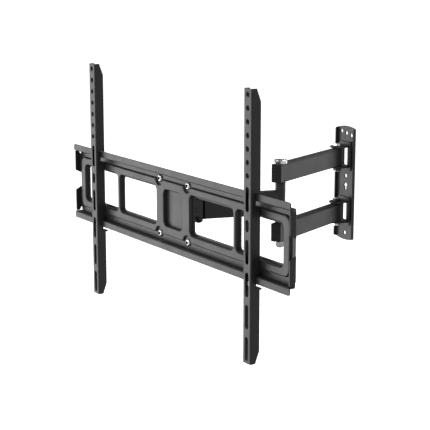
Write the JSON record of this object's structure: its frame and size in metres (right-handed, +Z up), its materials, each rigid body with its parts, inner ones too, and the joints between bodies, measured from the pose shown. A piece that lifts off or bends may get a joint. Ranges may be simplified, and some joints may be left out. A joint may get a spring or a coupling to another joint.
{
  "type": "full motion tv wall mount",
  "caption": "Articulated wall mount for a flat TV: wall plate, paired rear arms, elbow, front arm, swivel and tilt head, and a pressed plate with two hook-on rails.",
  "frame": {"origin": "middle of the wall plate's back face, on the wall, halfway between the upper and lower middle lag holes", "axes": "+X to the right along the wall seen from the room, -Y out of the wall towards the viewer, +Z up"},
  "size_m": [0.681, 0.4242, 0.43],
  "materials": {
    "powder_coated_steel": "fine matt black powder coat",
    "chrome_plate": "bright plated",
    "zinc_plate": "zinc plated",
    "black_oxide_steel": "black oxide",
    "nylon": "moulded nylon",
    "end_cap_plastic": "moulded matt plastic"
  },
  "bodies": {
    "wall": {"wall_plate": "powder_coated_steel", "upper_clevis": "powder_coated_steel", "lower_clevis": "powder_coated_steel", "upper_pivot_bolt": "chrome_plate", "lower_pivot_bolt": "chrome_plate", "upper_pivot_nut": "black_oxide_steel", "lower_pivot_nut": "black_oxide_steel", "wall_pivot_washers": "nylon"},
    "rear_arms": {"upper_arm": "powder_coated_steel", "lower_arm": "powder_coated_steel", "upper_arm_bushes": "nylon", "lower_arm_bushes": "nylon", "upper_arm_end_cap": "end_cap_plastic", "lower_arm_end_cap": "end_cap_plastic", "upper_elbow_sleeve": "zinc_plate", "lower_elbow_sleeve": "zinc_plate", "elbow_bolt": "chrome_plate", "elbow_nut": "chrome_plate", "elbow_washers": "nylon"},
    "forearm": {"elbow_tube": "powder_coated_steel", "elbow_bushes": "nylon", "front_arm": "powder_coated_steel", "head_bolt": "black_oxide_steel", "head_nut": "black_oxide_steel", "head_washers": "nylon"},
    "head": {"head_post": "powder_coated_steel", "head_bushes": "nylon", "head_bracket": "powder_coated_steel", "tilt_tube": "powder_coated_steel"},
    "panel": {"tilt_bracket": "powder_coated_steel", "tilt_bolt": "black_oxide_steel", "tilt_nut": "black_oxide_steel", "tilt_washers": "nylon", "tv_plate": "powder_coated_steel", "plate_bolts": "chrome_plate", "plate_nuts": "black_oxide_steel", "plate_spacers": "zinc_plate"},
    "rail_left": {"left_rail": "powder_coated_steel", "left_lock_bracket": "powder_coated_steel"},
    "rail_right": {"right_rail": "powder_coated_steel", "right_lock_bracket": "powder_coated_steel"},
    "lock_left": {"left_lock_screw": "black_oxide_steel"},
    "lock_right": {"right_lock_screw": "black_oxide_steel"}
  },
  "joints": [
    {"name": "wall_swivel", "type": "hinge", "parent": "wall", "child": "rear_arms", "pos_m": [0, -0.0235, 0], "axis": [0, 0, 1], "range_deg": [-97, 53]},
    {"name": "elbow", "type": "hinge", "parent": "rear_arms", "child": "forearm", "pos_m": [0.07642, -0.21265, 0], "axis": [0, 0, -1], "range_deg": [-150, 110]},
    {"name": "head_swivel", "type": "hinge", "parent": "forearm", "child": "head", "pos_m": [0.03069, -0.3534, 0], "axis": [0, 0, 1], "range_deg": [-78, 42]},
    {"name": "tilt", "type": "hinge", "parent": "head", "child": "panel", "pos_m": [0.03069, -0.3804, 0], "axis": [1, 0, 0], "range_deg": [-5, 15]},
    {"name": "left_rail_slide", "type": "slide", "parent": "panel", "child": "rail_left", "axis": [1, 0, 0], "range_m": [-0.075, 0.14]},
    {"name": "right_rail_slide", "type": "slide", "parent": "panel", "child": "rail_right", "axis": [1, 0, 0], "range_m": [-0.14, 0.075]},
    {"name": "left_lock", "type": "slide", "parent": "rail_left", "child": "lock_left", "axis": [0, 0, 1], "range_m": [-0.01, 0]},
    {"name": "right_lock", "type": "slide", "parent": "rail_right", "child": "lock_right", "axis": [0, 0, 1], "range_m": [-0.01, 0]}
  ]
}
